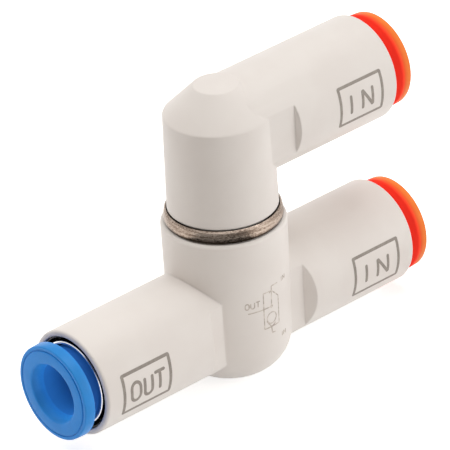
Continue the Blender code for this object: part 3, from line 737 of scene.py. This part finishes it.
def makeGuideRings():
    # A round lip about the button's neck, and a thin sleeve that lines the mouth, which the guide finish
    # paints dark as painted shade
    c = cartridge
    size = {
        "lip": 0.44, "lipFront": 0.1, "lipRound": 0.2, "grooveRound": 0.15,
        "sleeve": 5.62, "sleeveOuter": 5.88, "sleeveFront": 0.3, "sleeveRound": 0.06,
    }
    lip = c["guide"] + size["lip"]
    outline = [
        (lip, -size["lipFront"], size["lipRound"]), (lip, -c["guideFront"], size["grooveRound"]),
        (size["sleeve"], -c["guideFront"], size["grooveRound"]),
        (size["sleeve"], -size["sleeveFront"], size["sleeveRound"]),
        (size["sleeveOuter"], -size["sleeveFront"], size["sleeveRound"]),
        (size["sleeveOuter"], -c["guideBack"]),
        (c["catch"], -c["guideBack"]), (c["catch"], -c["catchFront"]), (c["guide"], -c["catchFront"]),
        (c["guide"], -size["lipFront"], size["lipRound"]),
    ]
    piece = turned("guide", outline, facets["button"])
    atEachPort(piece, "guide_{}", "guide_ring", "guide", "body", "nickel_plate")


makeBarrel()
print("barrel made")
makeElbow()
print("elbow made")
makeCollar()
makeButtons()
makeGuideRings()
print("collar, buttons and guide rings made")


def colletSeat(radius):
    # Height of the collet's conical floor, where the claw chuck lies
    c = cartridge
    return c["colletFloor"] - c["colletBack"] + c["clawSlope"] * (radius - c["colletEye"])


def makeCollets():
    c = cartridge
    size = {"slots": 6, "width": 0.7, "depth": 2.2, "edge": 0.08}
    outline = [
        (c["ring"], -c["colletFront"], size["edge"]), (c["ring"], -c["colletBack"], size["edge"]),
        (c["colletEye"], -c["colletBack"]), (c["colletEye"], colletSeat(c["colletEye"])),
        (c["catch"], colletSeat(c["catch"])), (c["catch"], -c["colletFront"], size["edge"]),
    ]
    piece = turned("collet", outline, facets["inner"])
    low = -c["colletFront"] - size["depth"]
    slotted(piece, size["slots"], size["width"], c["ring"] + overrun, low, overrun - c["colletFront"])
    atEachPort(piece, "collet_{}_cup", "collet", "natural_resin", "body", "natural_resin")


def makeChucks():
    c = cartridge
    size = {
        "outer": 5.0, "inner": 3.15, "thick": 0.35, "edge": 0.06, "claws": 8, "width": 0.5, "reach": 4.3,
    }
    back = {radius: colletSeat(radius) + c["gap"] for radius in (size["outer"], size["inner"])}
    outline = [
        (size["outer"], back[size["outer"]] + size["thick"], size["edge"]),
        (size["outer"], back[size["outer"]]), (size["inner"], back[size["inner"]]),
        (size["inner"], back[size["inner"]] + size["thick"], size["edge"]),
    ]
    piece = turned("claws", outline, facets["inner"])
    low = -c["colletBack"] - overrun
    slotted(piece, size["claws"], size["width"], size["reach"], low, -c["colletFront"])
    atEachPort(piece, "claws_{}", "claw_chuck", "spring_steel", "body", "spring_steel")


def makeSeals():
    c = cartridge
    size = {"relief": 0.7, "squeeze": 0.125, "tip": 0.2, "root": 0.7, "edge": 0.15}
    middleDepth = (c["sealFront"] + c["sealBack"]) / 2
    outer = c["sealBore"] - c["gap"]
    inner = c["tube"] + size["relief"]
    lip = c["tube"] - size["squeeze"]
    outline = [
        (outer, -c["sealFront"], size["edge"]), (outer, -c["sealBack"], size["edge"]),
        (inner, -c["sealBack"], size["edge"]), (inner, -middleDepth - size["root"]),
        (lip, -middleDepth - size["tip"], size["edge"]), (lip, size["tip"] - middleDepth, size["edge"]),
        (inner, size["root"] - middleDepth), (inner, -c["sealFront"], size["edge"]),
    ]
    piece = turned("seal", outline, facets["inner"])
    atEachPort(piece, "lip_seal_{}", "tube_seal", "black_rubber", "body", "black_rubber")


def makeClip():
    size = {"outer": 6.2, "inner": 5.0, "opening": 4.5, "edge": 0.12}
    outline = [
        (size["outer"], clipHigh, size["edge"]), (size["outer"], clipLow, size["edge"]),
        (size["inner"], clipLow, size["edge"]), (size["inner"], clipHigh, size["edge"]),
    ]
    piece = turned("spring_clip", outline, facets["inner"])
    half = size["opening"] / 2
    low = (-size["outer"] - overrun, -half, clipLow - overrun)
    cut(piece, block("gate", low, (0, half, clipHigh + overrun)))
    return complete(piece, finishes["spring_steel"], "barrel", "retaining_clip", "spring_steel")


def makeUpperSeat():
    size = {
        "flange": 5.4, "flangeLow": 15.2, "nose": 4.2, "noseFace": 13.5, "groove": 3.3,
        "grooveLow": 13.85, "grooveHigh": 14.85, "lip": 2.3, "hole": 1.6, "round": 0.2, "edge": 0.06,
    }
    outline = [
        (size["flange"], seatHigh, size["edge"]), (size["flange"], size["flangeLow"], size["edge"]),
        (size["nose"], size["flangeLow"]), (size["nose"], size["grooveHigh"], size["edge"]),
        (size["groove"], size["grooveHigh"]), (size["groove"], size["grooveLow"]),
        (size["nose"], size["grooveLow"], size["edge"]), (size["nose"], size["noseFace"], size["edge"]),
        (size["lip"], size["noseFace"]), (size["lip"], seatLow, size["round"]),
        (size["hole"], seatLow, size["round"]), (size["hole"], seatHigh),
    ]
    piece = turned("seat_bush", outline, facets["inner"])
    return complete(piece, finishes["seat_brass"], "barrel", "upper_seat", "seat_brass")


def makeRing(node, name, body):
    # A round-section ring that fills its solid's box
    low, high = span(node, 2)
    section = high - low
    outer = span(node, 1)[1]
    half = section / 2
    inner = outer - section
    corners = [(outer, high, half), (outer, low, half), (inner, low, half), (inner, high, half)]
    piece = turned(name, corners, facets["inner"])
    return complete(piece, finishes["black_rubber"], body, node, "black_rubber")


def makeShuttle():
    size = {
        "radius": 3.2, "edge": 0.3, "dish": 0.3, "dishRadius": 1.3,
        "lugs": 4, "lugWidth": 1.2, "lugHeight": 1.2, "reach": 4.16, "lugEdge": 0.12, "lugSteps": 3,
    }
    flat = size["dishRadius"]
    bottom = flat - size["dish"]
    outline = [
        (0, shuttleHigh - size["dish"]), (bottom, shuttleHigh - size["dish"]), (flat, shuttleHigh),
        (size["radius"], shuttleHigh, size["edge"]), (size["radius"], shuttleLow, size["edge"]),
        (flat, shuttleLow), (bottom, shuttleLow + size["dish"]), (0, shuttleLow + size["dish"]),
    ]
    piece = turned("poppet_disc", outline, facets["inner"], closed=False)
    centre = (shuttleLow + shuttleHigh) / 2
    for index in range(size["lugs"]):
        low = (size["radius"] - overrun, -size["lugWidth"] / 2, centre - size["lugHeight"] / 2)
        high = (size["reach"], size["lugWidth"] / 2, centre + size["lugHeight"] / 2)
        lug = block("lug", low, high)
        editAll(lug)
        bpy.ops.mesh.bevel(offset=size["lugEdge"] * mm, segments=size["lugSteps"], affect="EDGES")
        finishEdit()
        applyTurn(lug, (0, 0, 2 * pi * (index + 0.5) / size["lugs"]))
        combine(piece, lug, "UNION")
    return complete(piece, finishes["black_rubber"], "shuttle_poppet", "shuttle", "black_rubber")


makeCollets()
makeChucks()
makeSeals()
makeClip()
makeUpperSeat()
makeRing("seat_o_ring", "seat_bush_ring", "barrel")
makeRing("swivel_o_ring", "spigot_ring", "elbow")
makeShuttle()
print("inner pieces made")


# A stroke's points lie a step apart and closer at its ends, in shares of its width. Apart, same and
# tiny are distances in millimetres, and thin is the square of the thinnest share of its radius.
pen = {
    "step": 0.6, "ends": (0.06, 0.18, 0.34), "apart": 0.02, "same": 0.01, "tiny": 0.0001, "thin": 0.02,
    "resolution": 3,
}


def roundEnds(spline, placed, wrap, width):
    # Thins a stroke towards both ends, as a round pen leaves it
    reaches = [reach for across, up, reach in placed]
    first = Vector(spline.points[0].co[:3])
    start = wrap(placed[0][0], placed[0][1])
    if (first - start).length > pen["same"] * mm:
        reaches.reverse()
    for point, reach in zip(spline.points, reaches):
        point.radius = sqrt(max(pen["thin"], 1 - (1 - min(1, reach / (width / 2))) ** 2))


def drawMark(name, strokes, wrap, width, skin):
    # Each stroke is a round line on the surface, and what lies in the thin skin is kept
    tubes = []
    for points in strokes:
        placed = resampled(points, width)
        line = startPiece(name + "_line")
        drawLine([wrap(across, up) for across, up, reach in placed])
        merge("stroke")
        finishEdit()
        bpy.ops.object.convert(target="CURVE")
        curve = bpy.context.object
        curve.data.bevel_depth = width / 2 * mm
        curve.data.bevel_resolution = pen["resolution"]
        curve.data.use_fill_caps = True
        if points[0] != points[-1]:
            roundEnds(curve.data.splines[0], placed, wrap, width)
        bpy.ops.object.convert(target="MESH")
        edit(bpy.context.object)
        merge("stroke")
        faceOutwards()
        tubes.append(bpy.context.object)
    bpy.ops.object.select_all(action="DESELECT")
    for tube in tubes:
        tube.select_set(True)
    bpy.context.view_layer.objects.active = tubes[0]
    bpy.ops.object.join()
    mark = bpy.context.object
    mark.name = name
    return combine(mark, skin, "INTERSECT", crossing=True)


def resampled(points, width):
    # Points along a stroke, closer at its round ends, with their distance to the nearer end
    pairs = [(Vector(a), Vector(b)) for a, b in zip(points, points[1:])]
    total = sum((b - a).length for a, b in pairs)
    places = {0.0, total}
    count = max(2, ceil(total / (width * pen["step"])))
    places.update(total * index / count for index in range(1, count))
    if points[0] != points[-1]:
        for share in pen["ends"]:
            places.update((share * width, total - share * width))
    walked = 0.0
    for a, b in pairs:
        walked += (b - a).length
        places.add(walked)
    ordered = []
    for place in sorted(places):
        if not ordered or place - ordered[-1] > pen["apart"]:
            ordered.append(place)
    ordered[-1] = total
    found = []
    for place in ordered:
        walked = 0.0
        for a, b in pairs:
            step = (b - a).length
            if place <= walked + step + pen["tiny"]:
                spot = a.lerp(b, min(1, (place - walked) / step))
                break
            walked += step
        found.append((spot.x, spot.y, min(place, total - place)))
    return found


# Steps of a round quarter and of a U's bowl, an O's height over width at its corners, and how far a
# frame's strokes stay short of their full crossing
letterShape = {"quarterSteps": 6, "bowlSteps": 10, "roundness": 1.15, "cornerTrim": 0.05}


def loop(centre, across, up, corner):
    # A closed rounded box or oval, as points
    steps = letterShape["quarterSteps"]
    points = []
    for quarter, (signX, signY) in enumerate(((1, 1), (-1, 1), (-1, -1), (1, -1))):
        for step in range(steps + 1):
            angle = pi / 2 * (quarter + step / steps)
            x = centre[0] + signX * (across - corner[0]) + corner[0] * cos(angle)
            y = centre[1] + signY * (up - corner[1]) + corner[1] * sin(angle)
            points.append((x, y))
    points.append(points[0])
    return points


def disc(centre, radius):
    return loop(centre, radius, radius, (radius, radius))


def frameStrokes(centre, across, up, past):
    # Four straight strokes that pass each other at the corners
    x, y = centre
    strokes = []
    for side in (-1, 1):
        strokes.append([(x - across - past, y + side * up), (x + across + past, y + side * up)])
    for side in (-1, 1):
        strokes.append([(x + side * across, y - up - past), (x + side * across, y + up + past)])
    return strokes


def letterStrokes(letter, left, right, low, high):
    centre = (left + right) / 2
    half = (right - left) / 2
    if letter == "I":
        return [[(centre, high), (centre, low)]]
    if letter == "N":
        return [[(left, low), (left, high)], [(left, high), (right, low)], [(right, low), (right, high)]]
    if letter == "T":
        return [[(left, high), (right, high)], [(centre, high), (centre, low)]]
    if letter == "O":
        corner = (half, half * letterShape["roundness"])
        return [loop((centre, (low + high) / 2), half, (high - low) / 2, corner)]
    steps = letterShape["bowlSteps"]
    angles = [pi * step / steps for step in range(steps + 1)]
    bowl = [(centre - half * cos(angle), low + half - half * sin(angle)) for angle in angles]
    return [[(left, high)] + bowl + [(right, high)]]


def armWrap(height):
    # Across is the place along X, and up runs round the arm's front
    radius = cartridge["arm"]

    def wrap(across, up):
        angle = up / radius
        return Vector((across, -radius * cos(angle), height + radius * sin(angle))) * mm
    return wrap


def makePortMark(port, size):
    c = cartridge
    low, high = size["letterLow"], size["letterHigh"]
    past = size["stroke"] / 2 - letterShape["cornerTrim"]
    strokes = frameStrokes(size["centre"], size["across"] / 2, size["up"] / 2, past)
    for letter, left, right in size["letters"]:
        strokes += letterStrokes(letter, left, right, low, high)
    reach = size["across"] / 2 + overrun
    start = size["centre"][0] - reach
    end = size["centre"][0] + reach
    outer = c["arm"] + size["proud"]
    inner = c["arm"] - size["proud"]
    skin = turned("skin", [(outer, end), (outer, start), (inner, start), (inner, end)], facets["body"])
    height = ports[port]["height"]
    applyTurn(skin, (0, pi / 2, 0), (0, 0, height))
    mark = drawMark("mark_" + port, strokes, armWrap(height), size["stroke"], skin)
    return complete(mark, finishes["ink"], ports[port]["body"], None, None)


portMarks = {
    "out": {
        "centre": (-18.73, -0.27), "across": 7.12, "up": 5.2, "letterLow": -1.56, "letterHigh": 0.9,
        "letters": (("O", -21.18, -19.8), ("U", -19.15, -18.0), ("T", -17.62, -15.98)),
        "stroke": 0.42, "proud": 0.02,
    },
    "in_lower": {
        "centre": (18.19, -0.34), "across": 7.12, "up": 5.22, "letterLow": -1.62, "letterHigh": 0.86,
        "letters": (("I", 16.46, 16.46), ("N", 18.33, 20.0)), "stroke": 0.39, "proud": 0.02,
    },
    "in_upper": {
        "centre": (16.94, 0.17), "across": 6.68, "up": 4.97, "letterLow": -1.14, "letterHigh": 1.34,
        "letters": (("I", 15.28, 15.28), ("N", 17.12, 18.7)), "stroke": 0.39, "proud": 0.02,
    },
}


def barrelSide(height):
    # The barrel's radius at that height, outside its roundings
    return barrelFoot + (barrelRadius - barrelFoot) * height / barrelTop


def barrelWrap(across, up):
    # Across runs round the barrel's front, and up starts at the arms' height
    radius = barrelSide(armAxis + up)
    angle = across / radius
    return Vector((radius * sin(angle), -radius * cos(angle), armAxis + up)) * mm


def makeSymbol():
    # Shuttle valve symbol: two inlets, a ball between its seats, and the outlet
    size = {
        "stroke": 0.15, "proud": 0.015, "left": -0.93, "right": 1.46, "top": 4.66, "bottom": -0.25,
        "middle": (0.25, 2.5), "ball": (0.22, 0.95), "ballRadius": 0.74, "dot": 0.13, "outEnd": -3.04,
        "topSeat": ((-0.05, 4.4), (0.33, 4.62), (1.42, 3.5)), "topWay": ((0.33, 5.22), (1.42, 5.24)),
        "lowSeat": ((-0.58, 0.72), (0.12, -0.27), (0.86, 0.08)), "lowWay": ((0.2, -1.1), (0.78, -1.2)),
        "outWord": (("O", -3.36, -2.86), ("U", -2.66, -2.16), ("T", -1.98, -1.42)),
        "outLow": 3.1, "outHigh": 3.86, "inWord": (("I", 0.0, 0.0), ("N", 0.3, 0.78)),
        "topIn": (2.3, 4.98), "lowIn": (2.0, -2.42), "inHeight": 0.6,
    }
    left, right, top, bottom = size["left"], size["right"], size["top"], size["bottom"]
    peak, tip = size["topSeat"][1], size["lowSeat"][1]
    strokes = [
        [(left, bottom), (left, top), peak], [(right, size["topSeat"][2][1]), (right, bottom)],
        [(left, bottom), (right, bottom)], list(size["topSeat"]), list(size["lowSeat"]),
        [peak, size["middle"]], [size["middle"], (size["outEnd"], size["middle"][1])],
        [peak, *size["topWay"]], [tip, *size["lowWay"]],
        disc(size["ball"], size["ballRadius"]), disc(size["middle"], size["dot"]),
    ]
    for letter, start, end in size["outWord"]:
        strokes += letterStrokes(letter, start, end, size["outLow"], size["outHigh"])
    for place in (size["topIn"], size["lowIn"]):
        for letter, start, end in size["inWord"]:
            high = place[1] + size["inHeight"]
            strokes += letterStrokes(letter, place[0] + start, place[0] + end, place[1], high)
    low = armAxis + size["lowIn"][1] - overrun
    high = armAxis + size["topIn"][1] + size["inHeight"] + overrun
    proud = size["proud"]
    outline = [
        (barrelSide(high) + proud, high), (barrelSide(low) + proud, low),
        (barrelSide(low) - proud, low), (barrelSide(high) - proud, high),
    ]
    skin = turned("skin", outline, facets["body"])
    mark = drawMark("valve_symbol", strokes, barrelWrap, size["stroke"], skin)
    return complete(mark, finishes["faint_ink"], "barrel", None, None)


for port, size in portMarks.items():
    makePortMark(port, size)
makeSymbol()
print("marks made")


def seenRays(nodes):
    # 1 for rays that show the background, also in gloss or through glass, and 0 for light on the object
    kinds = ("Is Camera Ray", "Is Glossy Ray", "Is Transmission Ray")
    seen, glossy, through = (nodes.node("ShaderNodeLightPath", {}, {}, kind) for kind in kinds)
    return nodes.sum("MINIMUM", seen + glossy + through, 1.0)


def direction(azimuth, elevation):
    # Azimuth 0 is from -Y and 90 from +X, in degrees
    a, e = radians(azimuth), radians(elevation)
    return Vector((sin(a) * cos(e), -cos(a) * cos(e), sin(e)))


def makeStage():
    look = {"tint": 0.8, "seenLift": 0.65, "lift": 0.13, "size": 4.0}
    bpy.ops.mesh.primitive_plane_add(size=look["size"], location=(0, 0, 0))
    floor = bpy.context.object
    floor.name = "floor"
    finish = Finish("floorPaper", Roughness=0.9)
    finish.colour((look["tint"], look["tint"], look["tint"], 1))
    lift = [(look[key], look[key], look[key]) for key in ("lift", "seenLift")]
    finish.feed(finish.shader, "Emission Color", finish.mix(seenRays(finish), *lift))
    finish.feed(finish.shader, "Emission Strength", 1.0)
    floor.data.materials.append(finish.material)


def makeCard():
    # A dark card just above the arms, seen only as a reflection in the collar
    size = {
        "inner": 7.7, "outer": 60.0, "height": 19.6, "from": -7.0, "to": -84.0, "steps": 24, "tone": 0.03,
    }
    piece = startPiece("collarCard")
    start = direction(size["from"], 0)
    points = [start * size["inner"] * mm, start * size["outer"] * mm]
    drawLine([point + Vector((0, 0, size["height"] * mm)) for point in points])
    selectAll()
    turn = radians(size["from"] - size["to"])
    bpy.ops.mesh.spin(steps=size["steps"], angle=turn, center=(0, 0, 0), axis=(0, 0, 1))
    finishEdit()
    finish = Finish("darkCard", Roughness=0.9)
    finish.colour((size["tone"], size["tone"], size["tone"], 1))
    piece.data.materials.append(finish.material)
    piece.visible_camera = False
    piece.visible_diffuse = False
    piece.visible_shadow = False
    piece.visible_transmission = False


def makeWorld():
    # White behind the valve and in its gloss, and a faint warm light from all round
    look = {"room": (0.303, 0.264, 0.226), "white": (1, 1, 1)}
    world = bpy.data.worlds.new("studio")
    bpy.context.scene.world = world
    world.use_nodes = True
    nodes = Nodes(world.node_tree)
    background = world.node_tree.nodes["Background"]
    nodes.feed(background, "Color", nodes.mix(seenRays(nodes), look["room"], look["white"]))


lampAim = 18  # height of the valve's middle


def makeLamp(name, size):
    # A square soft light that faces the valve's middle
    away = direction(*size["from"])
    place = away * size["distance"] + Vector((0, 0, lampAim * mm))
    bpy.ops.object.light_add(type="AREA", location=place)
    lamp = bpy.context.object
    lamp.name = name
    lamp.data.size = size["width"]
    lamp.data.energy = size["level"] * pi * size["width"] ** 2
    lamp.rotation_euler = (-away).to_track_quat("-Z", "Y").to_euler()
    lamp.visible_glossy = size.get("gloss", True)


# Directions in degrees, distances and widths in metres
lamps = {
    "frontLamp": {"from": (30, 20), "distance": 0.7, "width": 0.4, "level": 2.7},
    "sideLamp": {"from": (60, 20), "distance": 0.7, "width": 0.4, "level": 0.71},
    "topLamp": {"from": (60, 75), "distance": 0.7, "width": 0.4, "level": 3.8},
    "leftLamp": {"from": (-150, 50), "distance": 0.7, "width": 0.4, "level": 4.17, "gloss": False},
    "backLamp": {"from": (150, 8), "distance": 0.7, "width": 0.3, "level": 0.43},
}
makeStage()
makeCard()
makeWorld()
for name, size in lamps.items():
    makeLamp(name, size)
print("studio made")


def makeCamera():
    # Long lens, turned as the photograph's view of the valve
    view = {
        "lens": 393.92, "sensor": 36.0, "azimuth": -40.43, "elevation": 29.55, "roll": -3.51,
        "distance": 587.8, "slide": (-0.4673, 9.3520), "near": 50, "far": 20000,
    }
    back = direction(view["azimuth"], view["elevation"])
    right = Vector((cos(radians(view["azimuth"])), sin(radians(view["azimuth"])), 0))
    up = back.cross(right)
    roll = radians(view["roll"])
    across = right * cos(roll) + up * sin(roll)
    upward = up * cos(roll) - right * sin(roll)
    slide = across * view["slide"][0] + upward * view["slide"][1]
    place = (slide + back * view["distance"] + Vector((0, 0, armAxis))) * mm
    data = bpy.data.cameras.new("camera")
    data.lens = view["lens"]
    data.sensor_width = view["sensor"]
    data.clip_start = view["near"] * mm
    data.clip_end = view["far"] * mm
    camera = bpy.data.objects.new("camera", data)
    bpy.context.scene.collection.objects.link(camera)
    camera.matrix_world = Matrix.Translation(place) @ Matrix((across, upward, back)).transposed().to_4x4()
    bpy.context.scene.camera = camera


makeCamera()
bpy.context.scene.view_settings.view_transform = "Standard"
print("camera made")
